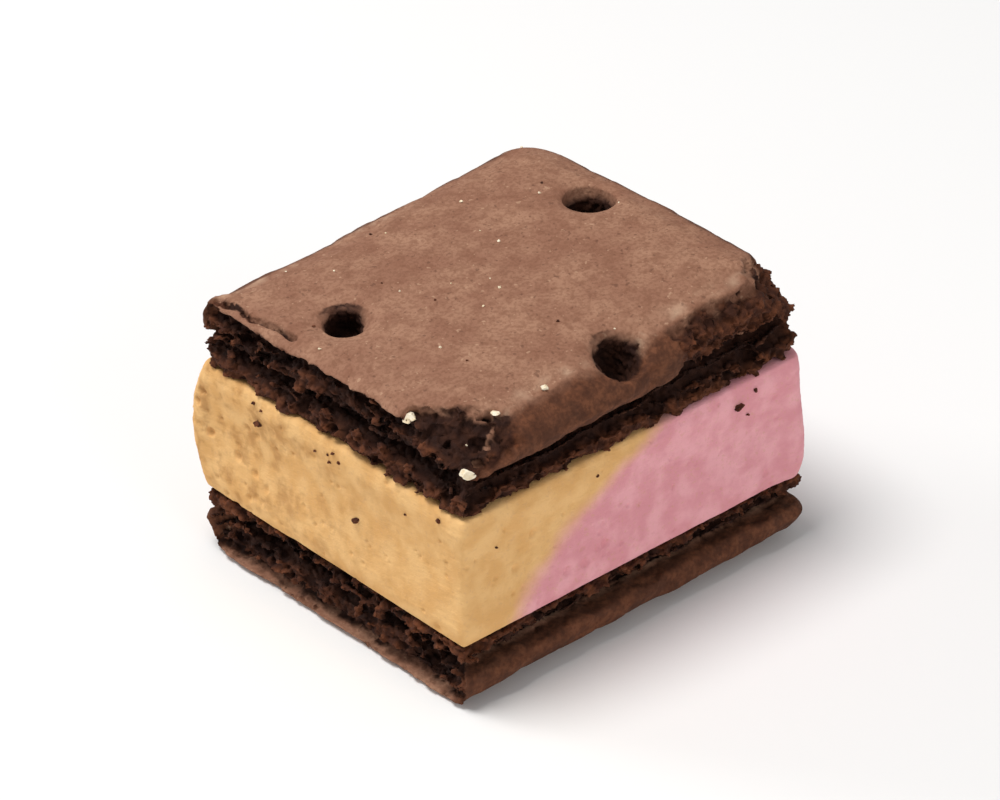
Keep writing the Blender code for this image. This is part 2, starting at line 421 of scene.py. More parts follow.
# %% Broken corners
CHIP_STEEPNESS = 0.6
UNDER_SKIN = 0.8 * MM
PEELED_WIDTH = 1.9 * MM
CHIP_LIMIT = 7.5 * MM
CHIP_FOOT = -0.18


def ragged_edge(spot):
    """The uneven line along which skin breaks, from about -1 to 1."""
    return 0.6 * rough(spot, 1.4 * MM, 4.4) + 0.4 * rough(spot, 0.6 * MM, 7.7)


def chip_share(spot, wafer):
    """1 where skin broke off a corner or the strip beside it."""
    _, front, right, _ = side_depths(spot, wafer)
    over_split = (height_share(spot, wafer) - SPLIT) / (1 - SPLIT)
    if not wafer.chips or front > CHIP_LIMIT or over_split < CHIP_FOOT:
        return 0.0
    uneven = ragged_edge(spot)
    slope = min(1.0, max(0.0, over_split))
    inner = UNDER_SKIN * fade(0.4, 0.7, slope) if slope else 0.0
    broken = 0.0
    for corner_x, inward, reach in wafer.chips:
        along = ((spot.x - corner_x) * inward + front) / math.sqrt(2)
        edge = reach * slope ** CHIP_STEEPNESS * (1.02 + 0.2 * uneven) + 0.25 * MM + inner
        broken = max(broken, fade(edge - 0.1 * MM, edge + 0.25 * MM, along))
    reach = wafer.peeled + 1.6 * MM * uneven
    strip = fade(PEELED_WIDTH - 0.2 * MM, PEELED_WIDTH + 0.1 * MM, front + 0.7 * MM * uneven)
    broken = max(broken, strip * fade(reach - 0.2 * MM, reach + 0.2 * MM, right))
    return broken * smoothstep(CHIP_FOOT, 0.0, over_split)


for name, wafer in WAFERS.items():
    print(name, "lost its skin at", len(wafer.chips), "corners")

# %% [markdown]
# ## The crack in the lip
# Near the back, the skin's left lip came half loose, with a thin crack behind it.

# %% Crack along the lip
LIP_CRACK_START = Vector((LEFT_SIDE + 1.0 * MM, 12.9 * MM))
LIP_CRACK_END = Vector((LEFT_SIDE + 1.7 * MM, 4.4 * MM))
CRACK_LIMIT = LEFT_SIDE + 3 * MM


def lip_crack(spot, wafer):
    """1 in the crack that runs along the skin's left lip near the back, 0 elsewhere."""
    if not wafer.chips or spot.x > CRACK_LIMIT or height_share(spot, wafer) < 0.8:
        return 0.0
    run = LIP_CRACK_END - LIP_CRACK_START
    plan = Vector((spot.x, spot.y)) - LIP_CRACK_START
    share = min(1.0, max(0.0, plan.dot(run) / run.length_squared))
    away = (plan - run * share + Vector((0.35 * MM * rough(spot, 1.8 * MM, 2.9), 0))).length
    return fade(0.1 * MM, 0.3 * MM, away)


print("the crack is", round((LIP_CRACK_END - LIP_CRACK_START).length / MM, 1), "mm long")

# %% [markdown]
# ## Pin holes
# Before baking, a blunt pin pricks the dough to let steam out, so the holes are round, steep and dark,
# and taper a little. The top wafer's first hole was pricked at a slant. Its third one sits where the skin
# bends down to the front side, and leans out with it. They closed up differently in the oven, so each has
# a width of its own.

# %% Place the pins
HOLE_PITCH = 24.4 * MM
HOLE_ROW = 17.0 * MM
HOLE_SKEW = -0.6 * MM
HOLE_SHIFTS = (Vector((0, 0)), Vector((HOLE_PITCH, HOLE_SKEW)), Vector((HOLE_PITCH / 2, -HOLE_ROW)))
HOLE_REACH = 2.2 * MM
BESIDE_HOLE = 3.2 * MM
SKIN_ENDS = (0.55 * MM, 1.3 * MM)


def find_pins(node):
    """Mouth, axis and width of each hole. The skin on both sides of it gives the mouth's height."""
    wafer = WAFERS[node]
    outwards = Vector((0, 0, wafer.turn))
    for shift, lean, width in zip(HOLE_SHIFTS, wafer.leans, wafer.widths):
        plan = wafer.first_hole + shift
        starts = [Vector((plan.x + side * BESIDE_HOLE, plan.y, 0.1 * wafer.turn)) for side in (-1, 1)]
        skin = [frame["nodes"][node].ray_cast(start, -outwards)[1].z for start in starts]
        yield Vector((plan.x, plan.y, sum(skin) / 2)), (outwards + Vector((*lean, 0))).normalized(), width


def in_hole(spot, wafer, depth_range=SKIN_ENDS):
    """1 on a hole's wall and bottom, 0 outside. Skin bends down into the hole before it ends."""
    start, end = depth_range
    inside = 0.0
    for mouth, axis, _ in wafer.pins:
        sunk = -(spot - mouth).dot(axis)
        if sunk > start and (spot - mouth + axis * sunk).length < HOLE_REACH:
            inside = max(inside, smoothstep(start, end, sunk))
    return inside


for node, wafer in WAFERS.items():
    wafer.pins = list(find_pins(node))
    for mouth, _, _ in wafer.pins:
        print(node, "has a hole at", [round(part / MM, 1) for part in mouth], "mm")

# %% [markdown]
# ## The pin
# The pin is a blunt cone, and a Boolean cut drives it in, one hole after the other. A cone keeps the hole
# crisp, where pressing vertices down would smear the skin into it.

# %% Prick the dough
PIN_LENGTH = 6.0 * MM
PIN_DEPTH = 3.4 * MM
PIN_TIP = 1.35 * MM
PIN_TOP = 1.9 * MM
PIN_SIDES = 24


def prick(piece, wafer):
    """Drives the pin into the wafer at each hole."""
    for mouth, axis, width in wafer.pins:
        bpy.ops.object.select_all(action="DESELECT")
        bpy.ops.mesh.primitive_cone_add(
            vertices=PIN_SIDES, radius1=PIN_TIP * width, radius2=PIN_TOP * width, depth=PIN_LENGTH,
            location=mouth + axis * (PIN_LENGTH / 2 - PIN_DEPTH),
            rotation=axis.to_track_quat("Z", "Y").to_euler(),
        )
        pin = bpy.context.object
        modify(piece, "BOOLEAN", operation="DIFFERENCE", solver="EXACT", object=pin)
        remove(pin)
    print(piece.name, "pricked", len(wafer.pins), "times")


# %% [markdown]
# ## Skin or crumb
# With the corners, the crack and the holes known, one rule tells baked skin from crumb anywhere. Both the
# sculpting and the colours use it, so they always agree.

# %% Tell skin from crumb
BEND_WIDTH = 2.4 * MM


def skin_share(spot, wafer):
    """1 on baked skin, 0 on crumb."""
    height = height_share(spot, wafer)
    depths = side_depths(spot, wafer)
    edge = wafer.lip if min(depths) == depths[0] else SPLIT
    skin = smoothstep(edge - 0.015, edge + 0.03, height + 0.08 * ragged_edge(spot))
    if min(depths) > BEND_WIDTH:
        skin *= smoothstep(0.86, 0.93, height)
    if skin:
        skin *= (1 - chip_share(spot, wafer)) * (1 - in_hole(spot, wafer))
        skin *= fade(0.2, 0.8, lip_crack(spot, wafer))
    return skin


for name, wafer in WAFERS.items():
    beside = wafer.pins[1][0] + Vector((-4 * MM, 0, 0))
    print(name, "beside a hole has a skin share of", round(skin_share(beside, wafer), 2))

# %% [markdown]
# ## Layers and splits
# Rolled dough bakes in layers, and a broken side shows them: long dark splits that branch and pinch off,
# with thin leaves of crumb between. A split runs where noise that is pressed flat passes through zero.
# The main split, which the solid has too, lies a little under half the wafer's height. On the left side
# another one lies right under the skin's lip.

# %% Rules for layers
SPLIT_MIDDLE_FRONT, SPLIT_MIDDLE_LEFT = 0.33, 0.37
SPLIT_REACH_FRONT, SPLIT_REACH_LEFT = 0.08, 0.045
LIP_SPLIT = 0.83
DEEPEST_LAYER = 3.2 * MM


def splits(spot, shift, length, flat, width):
    """1 in the middle of a split, 0 away from it."""
    warped = spot + Vector((0, 0, 0.45 * MM * rough(spot, 2.6 * MM, shift + 5)))
    return fade(0.0, width, abs(rough(warped, length, shift, flat=flat)))


def crumb_layers(spot, height, wave, on_left, seed):
    """How far crumb stands out or falls back."""
    steady = 0.3 + 0.7 * smoothstep(0.03, 0.2, height)
    leaf = 0.38 * MM * (rough(spot, 3.4 * MM, seed + 6, flat=4.5) - 0.3)
    long_split = -1.5 * MM * splits(spot, seed, 6.5 * MM, 5.0, 0.12)
    short_split = -0.6 * MM * splits(spot, seed + 2, 3.0 * MM, 5.5, 0.15)
    middle = SPLIT_MIDDLE_FRONT + (SPLIT_MIDDLE_LEFT - SPLIT_MIDDLE_FRONT) * on_left
    reach = SPLIT_REACH_FRONT + (SPLIT_REACH_LEFT - SPLIT_REACH_FRONT) * on_left
    main_split = -1.3 * MM * fade(reach, reach + 0.04, abs(height - middle + 0.6 * wave))
    under_lip = -1.3 * MM * on_left * fade(0.025, 0.065, abs(height - LIP_SPLIT + wave))
    return steady * leaf + min(steady * (long_split + short_split), main_split, under_lip)


def layered(spot, wafer, seed):
    """How far a broken side stands out or falls back, layer by layer."""
    depths = side_depths(spot, wafer)
    left, front, right, back = depths
    broken = chip_share(spot, wafer)
    if min(depths) > DEEPEST_LAYER and not broken:
        return 0.0
    height = height_share(spot, wafer)
    wave = 0.035 * rough(spot, 4.5 * MM, seed + 9) + 0.015 * rough(spot, 1.3 * MM, seed + 3)
    cut = smoothstep(-1.5 * MM, 1.5 * MM, min(right, back) - min(left, front))
    on_left = smoothstep(-1.0 * MM, 1.0 * MM, front - left)
    crumb_top = SPLIT + (wafer.lip - SPLIT) * on_left * cut
    in_crumb = max(broken, fade(crumb_top - 0.02, crumb_top + 0.03, height + wave))
    crumb = crumb_layers(spot, height, wave, on_left, seed) * (1 - 0.6 * broken)
    tears = -0.16 * MM * splits(spot, seed + 8, 5.0 * MM, 4.0, 0.04)
    tears *= smoothstep(0.46, 0.52, height) * fade(0.76, 0.86, height)
    return (0.2 + 0.8 * cut) * (in_crumb * crumb + (1 - in_crumb) * tears)


top = WAFERS["top_wafer"]
for height in (0.1, 0.33, 0.6):
    spot = Vector((0, FRONT_SIDE, top.filling_side + height * top.thickness))
    print("front side at", height, "moves", round(layered(spot, top, seed=4) / MM, 2), "mm")

# %% [markdown]
# ## The step under the skin
# Skin is a crust of a quarter millimetre, so crumb lies that much lower where the skin broke off. On the
# broken corners it also came away in clods. Around each pin hole the skin sank into a shallow dish.

# %% Rule for the step
CRUST = 0.24 * MM
CLOD = 2.1 * MM
CRACK_DEPTH = 0.9 * MM
DISH_DEPTH = 0.3 * MM


def undercut(spot, wafer, seed):
    """How far the surface sinks: crumb below skin, clods, the lip's crack and the holes' dishes."""
    skin = skin_share(spot, wafer)
    broken = chip_share(spot, wafer)
    near_side = fade(3.0 * MM, 3.6 * MM, min(side_depths(spot, wafer)))
    sunk = CRUST * (1 - skin) * max(near_side, broken) + CRACK_DEPTH * lip_crack(spot, wafer)
    if broken:
        between_clods = 0.7 * MM * creases(spot, CLOD, flat=1.7)
        sunk += broken * (between_clods + 0.5 * MM * (0.3 + rough(spot, 2.6 * MM, seed + 12)))
    dish = 0.0
    for mouth, axis, _ in wafer.pins:
        away = spot - mouth
        beside = (away - axis * away.dot(axis)).length
        dish = max(dish, fade(1.6 * MM, 3.1 * MM, beside))
    return -sunk - DISH_DEPTH * dish * skin


for name, wafer in WAFERS.items():
    beside = wafer.pins[1][0] + Vector((2.2 * MM, 0, 0))
    print(name, "beside a hole sinks", round(-undercut(beside, wafer, seed=4) / MM, 2), "mm")

# %% [markdown]
# ## One crumb
# Broken wafer sheds crumbs, and they cling to its edges. One is modelled from a ball: its points are
# shaken, and two flat cuts give it the facets of a dry break. It is copied wherever crumbs show.

# %% Model one crumb
bpy.ops.object.select_all(action="DESELECT")
bpy.ops.mesh.primitive_ico_sphere_add(subdivisions=2, radius=1.0, location=(0, 0, 0))
crumb_model = bpy.context.object
crumb_model.name = "crumb_model"
edit(crumb_model)
bpy.ops.transform.vertex_random(offset=0.28, uniform=1.0, normal=0.3, seed=5)
for cut_at, cut_normal in (((0.55, 0, 0.2), (1, 0.2, 0.5)), ((-0.3, -0.5, 0), (-0.3, -1, 0.2))):
    bpy.ops.mesh.select_all(action="SELECT")
    bpy.ops.mesh.bisect(plane_co=cut_at, plane_no=cut_normal, use_fill=True, clear_outer=True)
bpy.ops.mesh.select_all(action="SELECT")
bpy.ops.mesh.quads_convert_to_tris()
bpy.ops.mesh.normals_make_consistent(inside=False)
end_edit()
print("a crumb has", triangles(crumb_model), "triangles")

# %% [markdown]
# ## Many crumbs
# All crumbs of one kind become one piece. Their corners and faces are stacked up in arrays, which gives
# the same as hundreds of duplicates, but quicker.

# %% Scatter copies of it
def scatter(name, model, placings):
    """One piece of copies of the model, each at its place, turn and size."""
    corners = np.array([vertex.co for vertex in model.data.vertices])
    faces = np.array([face.vertices[:] for face in model.data.polygons])
    all_corners, all_faces = [], []
    for number, (spot, turn, size) in enumerate(placings):
        all_corners.append((corners @ np.array(turn).T) * np.array(size) + np.array(spot))
        all_faces.append(faces + number * len(corners))
    mesh = bpy.data.meshes.new(name)
    mesh.from_pydata(np.concatenate(all_corners).tolist(), [], np.concatenate(all_faces).tolist())
    print(name, "are", len(all_corners), "crumbs")
    return new_object(name, mesh)


def random_turn(draw):
    """Any turn at all, as a rotation matrix."""
    axis = Vector([draw.gauss(0, 1) for _ in range(3)]).normalized()
    return Matrix.Rotation(draw.uniform(0, math.tau), 3, axis)


print("a crumb model has", len(crumb_model.data.vertices), "corners to copy")

# %% [markdown]
# ## Crumbs that cling
# Small crumbs hang along the lower part of each side and lie on the slopes where the corners broke off.
# They are fused with the wafer by the next remesh.

# %% Place the clinging crumbs
def at_height(plan, share, wafer):
    """The 3-D place over this plan point, at this share of the wafer's height."""
    rise = wafer.rise.dot(plan - MIDDLE)
    height = wafer.filling_side + wafer.turn * share * (wafer.thickness + rise)
    return Vector((plan.x, plan.y, height))


def side_crumbs(wafer, draw):
    """Crumbs along the four sides."""
    front_left, front_right = Vector((LEFT_SIDE, FRONT_SIDE)), Vector((wafer.right, FRONT_SIDE))
    back_left = Vector((LEFT_SIDE, BACK_SIDE))
    length, width = wafer.right - LEFT_SIDE, BACK_SIDE - FRONT_SIDE
    # start, along, inwards, count, highest share of the height
    sides = (
        (front_left, Vector((0, width)), Vector((1, 0)), 90, 0.66),
        (front_left, Vector((length, 0)), Vector((0, 1)), 40, 0.22),
        (front_right, Vector((0, width)), Vector((-1, 0)), 24, 0.2),
        (back_left, Vector((length, 0)), Vector((0, -1)), 24, 0.2),
    )
    for start, along, inwards, count, highest in sides:
        for _ in range(count):
            share = 0.03 + highest * draw.random() ** 1.5
            size = draw.uniform(0.22, 0.55) * MM
            plan = start + along * draw.uniform(0.03, 0.97) + inwards * (size * 0.5 + 0.6 * MM)
            thin = draw.uniform(0.35, 0.8)
            yield at_height(plan, share, wafer), random_turn(draw), (size, size, size * thin)


def corner_crumbs(wafer, draw):
    """Crumbs on the slopes of the broken corners."""
    for corner_x, inward, reach in wafer.chips:
        for _ in range(30):
            share = draw.uniform(0.46, 0.9)
            over_split = (share - SPLIT) / (1 - SPLIT)
            along = reach * over_split ** CHIP_STEEPNESS + draw.uniform(0.5, 0.9) * MM
            across = draw.uniform(-1, 1) * max(0.0, along - 1.2 * MM)
            plan = Vector((corner_x + inward * (along + across) / math.sqrt(2),
                           FRONT_SIDE + (along - across) / math.sqrt(2)))
            size = draw.uniform(0.3, 0.7) * MM
            thin = draw.uniform(0.5, 0.9)
            yield at_height(plan, share, wafer), random_turn(draw), (size, size, size * thin)


def clinging_crumbs(wafer, seed):
    """All crumbs that cling to one wafer, as one piece."""
    draw = random.Random(seed)
    placings = [*side_crumbs(wafer, draw), *corner_crumbs(wafer, draw)]
    return scatter("clinging_crumbs", crumb_model, placings)


middle_top = at_height(MIDDLE, 1.0, top)
print("the middle of the skin lies at", round(middle_top.z / MM, 1), "mm")

# %% [markdown]
# ## Fine relief
# The finest shapes come last. Crumb gets angular lumps, creases and small holes. Skin dried smooth, so it
# gets only soft waves, tiny pores and faint cracks near its edges.

# %% Rules for fine relief
def crumb_relief(spot, seed):
    """Lumps, creases and holes of broken crumb."""
    lumps = 0.10 * MM * rough(spot, 1.1 * MM, seed + 1, flat=1.6)
    lumps += 0.07 * MM * rough(spot, 0.4 * MM, seed + 2)
    dents = 0.20 * MM * creases(spot, 0.85 * MM, flat=1.6) + 0.07 * MM * creases(spot, 0.4 * MM)
    holes = 0.15 * MM * pits(spot, 0.95 * MM, 0.34 * MM, seed, share=0.4)
    return lumps - dents - holes


def skin_relief(spot, wafer, seed):
    """Soft waves, pores and faint cracks of baked skin."""
    waves = 0.07 * MM * rough(spot, 3.5 * MM, 2.2) + 0.018 * MM * rough(spot, 0.7 * MM, 3.3)
    pores = 0.07 * MM * pits(spot, 1.3 * MM, 0.16 * MM, seed + 4, share=0.3)
    near_edge = fade(2.5 * MM, 6.0 * MM, min(side_depths(spot, wafer)))
    cracks = 0.06 * MM * near_edge * creases(spot, 3.6 * MM) if near_edge else 0.0
    return waves - pores - cracks


def relief(spot, wafer, seed):
    """Crumb's or skin's relief, and none where the piece rests on the table."""
    skin = skin_share(spot, wafer)
    height = skin * skin_relief(spot, wafer, seed) if skin else 0.0
    if skin < 1:
        height += (1 - skin) * crumb_relief(spot, seed)
    return smoothstep(0.02 * MM, 0.25 * MM, spot.z) * height


print("relief in the middle of the skin:", round(relief(middle_top, top, seed=4) / MM, 3), "mm")

# %% [markdown]
# ## Loose bits
# Where a thin leaf breaks in the remesh, bits may be left hanging in the air. Only what hangs together
# with the piece's middle is kept.

# %% Drop loose bits
def drop_loose_bits(piece):
    """Keeps only what hangs together with the vertex nearest to the piece's middle."""
    spots = np.array([vertex.co for vertex in piece.data.vertices])
    middle = (spots.min(axis=0) + spots.max(axis=0)) / 2
    nearest = int(((spots - middle) ** 2).sum(axis=1).argmin())
    edit(piece)
    bpy.ops.mesh.select_all(action="DESELECT")
    end_edit()
    piece.data.vertices[nearest].select = True
    bpy.ops.object.mode_set(mode="EDIT")
    bpy.ops.mesh.select_linked()
    bpy.ops.mesh.select_all(action="INVERT")
    bpy.ops.mesh.delete(type="VERT")
    end_edit()
    print(piece.name, "lost", len(spots) - len(piece.data.vertices), "vertices of loose bits")


# %% [markdown]
# ## The wafers
# Now all steps run in order: copy, prick, remesh, smooth the facets away, open the layers, sink the crumb
# under the skin, fuse the crumbs on, and carve the fine relief.

# %% Steps for one wafer
WAFER_ROUNDS = 7


def bake(node, seed):
    """One finished wafer from its solid."""
    wafer = WAFERS[node]
    piece = copy_nodes(node + "_baked", node)
    prick(piece, wafer)
    regrid(piece, COARSE, WAFER_ROUNDS)
    sculpt(piece, lambda spot, normal: layered(spot, wafer, seed), level=True)
    sculpt(piece, lambda spot, normal: undercut(spot, wafer, seed))
    pick(piece, clinging_crumbs(wafer, seed))
    bpy.ops.object.join()
    regrid(piece, FINE, 1)
    sculpt(piece, lambda spot, normal: relief(spot, wafer, seed))
    drop_loose_bits(piece)
    thin_out(piece)
    return piece


print("a wafer is smoothed", WAFER_ROUNDS, "times before it is sculpted")

# %% [markdown]
# ## The top wafer
# It is seen most: puffed up, with two broken corners, a peeled strip and a cracked lip. The seed picks
# one pattern of layers out of many, and this one splits about where the real piece does.

# %% Bake the top wafer
top_piece = bake("top_wafer", seed=4)

# %% [markdown]
# ## The bottom wafer
# It lies on its skin, so the same steps run upside down. Another seed keeps its layers from repeating
# those above.

# %% Bake the bottom wafer
bottom_piece = bake("bottom_wafer", seed=11)

# %% [markdown]
# ## A map for the colours
# The material has to know skin from crumb, so four values are stored at each vertex: how much skin,
# where skin curls down the sides and is painted darker, partly its baked colour and partly painted shade,
# how deep it lies, for painted shade, and where skin gets a painted highlight at its bends. Deep crumb
# gets painted shade, as little light gets there.

# %% Store the map
# How far down a hole the painted shade grows from none to full.
PAINTED_SHADE_IN_HOLE = (0.8 * MM, 2.4 * MM)


def painted_highlight_share(spot, wafer):
    """1 where the skin's bend at the front and back gets a painted highlight that makes it pale."""
    _, front, _, back = side_depths(spot, wafer)
    at_front = smoothstep(2.1 * MM, 2.4 * MM, front) * fade(2.5 * MM, 3.6 * MM, front)
    at_back = smoothstep(1.0 * MM, 1.7 * MM, back) * fade(2.0 * MM, 3.4 * MM, back)
    return max(at_front, at_back) * smoothstep(0.0, 0.4, ragged_edge(spot))


def painted_shade_share(spot, wafer):
    """Painted shade: 1 deep in a split or a hole, 0 at the outline. The right corner is the paler of the
    broken ones, with less painted shade.
    """
    painted_shade = smoothstep(0.5 * MM, 1.5 * MM, min(side_depths(spot, wafer)))
    pale = 0.05 + 0.4 * smoothstep(-5.0 * MM, 5.0 * MM, spot.x)
    painted_shade *= 1 - pale * chip_share(spot, wafer)
    return max(painted_shade, in_hole(spot, wafer, PAINTED_SHADE_IN_HOLE))


def side_tone_and_shade_share(spot, wafer):
    """1 on the skin that curls down the front, right and back sides, painted darker there: partly its baked
    colour, partly painted shade.
    """
    outer = min(side_depths(spot, wafer)[1:])
    return fade(1.5 * MM, 2.3 * MM, outer + 0.6 * MM * ragged_edge(spot))


def store_map(piece, wafer):
    """Stores the four values at every vertex."""
    spots = [vertex.co for vertex in piece.data.vertices]
    rules = {"skin": skin_share, "side": side_tone_and_shade_share, "depth": painted_shade_share, "painted_highlight": painted_highlight_share}
    for name, rule in rules.items():
        values = [rule(spot, wafer) for spot in spots]
        piece.data.attributes.new(name, "FLOAT", "POINT").data.foreach_set("value", values)
        print(piece.name, name, "is", round(sum(values) / len(values), 2), "on average")


for piece, node in ((top_piece, "top_wafer"), (bottom_piece, "bottom_wafer")):
    store_map(piece, WAFERS[node])
for piece in (top_piece, bottom_piece, ice_cream):
    pick(piece)
    bpy.ops.object.shade_smooth()

# %% [markdown]
# ## Material helpers
# Colours are written as a picture shows them, from 0 to 255, and turned into the linear values that a
# shader takes. Patterns read Object coordinates, in metres, so a grain's size is its real size.

# %% Colours and nodes
def colour(red, green, blue):
    """A picture's colour as linear values."""
    steps = [step / 255 for step in (red, green, blue)]
    return (*[s / 12.92 if s <= 0.04045 else ((s + 0.055) / 1.055) ** 2.4 for s in steps], 1.0)


def new_finish(name):
    """A dull material and its node tree."""
    material = bpy.data.materials.new(name)
    material.use_nodes = True
    shader = material.node_tree.nodes["Principled BSDF"]
    shader.inputs["Roughness"].default_value = 0.9
    shader.inputs["Specular IOR Level"].default_value = 0.2
    return material, material.node_tree


def add(tree, kind, sockets, **settings):
    """A node with its settings made and its sockets filled. Outputs are linked, numbers are set."""
    node = tree.nodes.new(kind)
    for setting, value in settings.items():
        setattr(node, setting, value)
    for socket, value in sockets.items():
        if isinstance(value, bpy.types.NodeSocket):
            tree.links.new(value, node.inputs[socket])
        else:
            node.inputs[socket].default_value = value
    return node


print("a baked skin tone in linear light:", [round(part, 3) for part in colour(159, 116, 92)[:3]])

# %% [markdown]
# ## Patterns
# Every tone here is two colours mixed by a pattern or by a value stored on the mesh. A few short helpers
# place the nodes, so that each material reads as a list of its layers.

# %% Patterns and sums
def place_in(tree):
    """The place on the piece, in metres."""
    return add(tree, "ShaderNodeTexCoord", {}).outputs["Object"]


def grain(tree, size, detail=4.0, stretch=(1, 1, 1), shift=(0, 0, 0)):
    """Noise from 0 to 1 whose blots have this size in metres."""
    moved = add(tree, "ShaderNodeMapping", {"Vector": place_in(tree), "Scale": stretch, "Location": shift})
    cloud = {"Vector": moved.outputs["Vector"], "Scale": 1 / size, "Detail": detail}
    return add(tree, "ShaderNodeTexNoise", cloud).outputs["Fac"]


def between(tree, value, low, high):
    """0 at low, 1 at high, smooth in between."""
    ends = {"Value": value, "From Min": low, "From Max": high}
    return add(tree, "ShaderNodeMapRange", ends, interpolation_type="SMOOTHSTEP").outputs["Result"]


def calc(tree, kind, first, second):
    """Two values through a math node."""
    return add(tree, "ShaderNodeMath", {0: first, 1: second}, operation=kind).outputs["Value"]


def stored(tree, name):
    """A value stored on the mesh."""
    return add(tree, "ShaderNodeAttribute", {}, attribute_name=name).outputs["Fac"]


def blend(tree, share, first, second, strength=1.0):
    """Two colours mixed by a share. A mix node's colour sockets are numbers 6 and 7, its output is 2."""
    if strength != 1.0:
        share = calc(tree, "MULTIPLY", share, strength)
    return add(tree, "ShaderNodeMix", {0: share, 6: first, 7: second}, data_type="RGBA").outputs[2]


def coat(tree, base, rough_range, bump, depth):
    """Sends the colour, an uneven roughness and a bump to the shader."""
    low, high = rough_range
    uneven = add(tree, "ShaderNodeMapRange", {"Value": grain(tree, 0.8 * MM), "To Min": low, "To Max": high})
    raised = add(tree, "ShaderNodeBump", {"Height": bump, "Distance": depth, "Strength": 1.0})
    shader = tree.nodes["Principled BSDF"]
    tree.links.new(base, shader.inputs["Base Color"])
    tree.links.new(uneven.outputs["Result"], shader.inputs["Roughness"])
    tree.links.new(raised.outputs["Normal"], shader.inputs["Normal"])


# %% [markdown]
# ## The wafer's finish
# Baked skin is a matt grey-brown with soft blots, fine specks, dark specks of painted shade in its pores
# and a painted highlight at its bends. Where it curls down the sides it is darker, partly its baked colour
# and partly painted shade. The crumb under it is a deep brown with lighter blots of painted highlight
# scattered by noise, and painted shade makes it nearly black in the splits.

# %% Wafer material
def skin_colours(tree):
    """Blotted, mottled and speckled skin, with painted pore shade, a painted highlight at its bends and
    darker sides.
    """
    blots = between(tree, grain(tree, 3.4 * MM, 7), 0.34, 0.68)
    skin = blend(tree, blots, colour(141, 99, 78), colour(160, 119, 95))
    mottles = between(tree, grain(tree, 1.1 * MM, 6, shift=(0.1, 0.2, 0.3)), 0.46, 0.64)
    skin = blend(tree, mottles, skin, colour(122, 80, 60), 0.42)
    fine = between(tree, grain(tree, 0.30 * MM, 4), 0.44, 0.6)
    skin = blend(tree, fine, skin, colour(114, 75, 55), 0.4)
    specks = between(tree, grain(tree, 0.5 * MM, 2, shift=(0.3, 0.1, 0.2)), 0.68, 0.74)
    skin = blend(tree, specks, skin, colour(188, 150, 122), 0.5)
    # Painted shade: dark specks stand in for the shade in the skin's tiny pores.
    pore_shade_specks = between(tree, grain(tree, 0.45 * MM, 2, shift=(0.5, 0.2, 0.1)), 0.64, 0.71)
    skin = blend(tree, pore_shade_specks, skin, colour(86, 54, 40), 0.5)
    # Painted highlight: the skin's bends at the front and back are painted pale, as if lit.
    skin = blend(tree, stored(tree, "painted_highlight"), skin, colour(204, 172, 144), 0.45)
    # The sides are painted darker: partly the darker baked colour, partly painted shade where the skin faces
    # sideways.
    side = between(tree, grain(tree, 0.9 * MM, 8), 0.35, 0.68)
    side = blend(tree, side, colour(74, 40, 24), colour(108, 64, 41))
    side = blend(tree, fine, side, colour(56, 29, 17), 0.4)
    return blend(tree, stored(tree, "side"), skin, side, 0.92)


def crumb_colours(tree):
    """Brown crumb, with painted shade that darkens it with depth."""
    # Painted highlight: lighter blots stand in for light on crumb tips, placed by noise.
    highlight_blots = between(tree, grain(tree, 0.9 * MM, 6), 0.35, 0.68)
    crumb = blend(tree, highlight_blots, colour(64, 32, 18), colour(106, 60, 36))
    # Painted shade: deep crumb is mixed towards near black.
    return blend(tree, stored(tree, "depth"), crumb, colour(30, 13, 8), 0.8)


wafer_look, tree = new_finish("wafer_skin_and_crumb")
base = blend(tree, stored(tree, "skin"), crumb_colours(tree), skin_colours(tree))
coarse = calc(tree, "MULTIPLY", grain(tree, 0.9 * MM), 0.8)
coat(tree, base, (0.72, 0.95), calc(tree, "ADD", grain(tree, 0.25 * MM, 5), coarse), 0.06 * MM)
for piece in (top_piece, bottom_piece):
    piece.data.materials.append(wafer_look)
print(wafer_look.name, "has", len(tree.nodes), "nodes")

# %% [markdown]
# ## The ice cream's finish
# Dry ice cream is matt and chalky. Strawberry fades into vanilla over a few millimetres, along a border
# that bends a little away from the straight cut between the solids. Noise makes it wander.

# %% Where the flavours meet
BORDER_BEND = 1.3 * MM
FADE = (-1.0 * MM, 1.5 * MM)


def strawberry_share(tree):
    """0 in vanilla, 1 in strawberry."""
    place = place_in(tree)
    across = add(tree, "ShaderNodeVectorMath", {0: place, 1: towards_strawberry}, operation="DOT_PRODUCT")
    straight = calc(tree, "SUBTRACT", across.outputs["Value"], border_foot.dot(towards_strawberry))
    height = add(tree, "ShaderNodeSeparateXYZ", {0: place}).outputs["Z"]
    off_middle = calc(tree, "SUBTRACT", height, (filling_low + filling_high) / 2)
    off_middle = calc(tree, "DIVIDE", off_middle, (filling_high - filling_low) / 2)
    bend = calc(tree, "SUBTRACT", 1.0, calc(tree, "MULTIPLY", off_middle, off_middle))
    bent = calc(tree, "ADD", straight, calc(tree, "MULTIPLY", bend, BORDER_BEND))
    wander = calc(tree, "MULTIPLY", calc(tree, "SUBTRACT", grain(tree, 3.0 * MM), 0.5), 2.2 * MM)
    return between(tree, calc(tree, "ADD", bent, wander), *FADE)


def left_end_brown_blots(tree):
    """1 on the brown blots in the torn left end."""
    axes = add(tree, "ShaderNodeSeparateXYZ", {0: place_in(tree)}).outputs
    left_end = between(tree, axes["Y"], -14.0 * MM, 12.0 * MM)
    left_end = calc(tree, "MULTIPLY", left_end, between(tree, axes["X"], -13.0 * MM, -17.0 * MM))
    blots = between(tree, grain(tree, 1.5 * MM, 9, shift=(0.2, 0.4, 0.1)), 0.44, 0.70)
    return calc(tree, "MULTIPLY", blots, left_end)


print("the flavours fade over", round((FADE[1] - FADE[0]) / MM, 1), "mm")
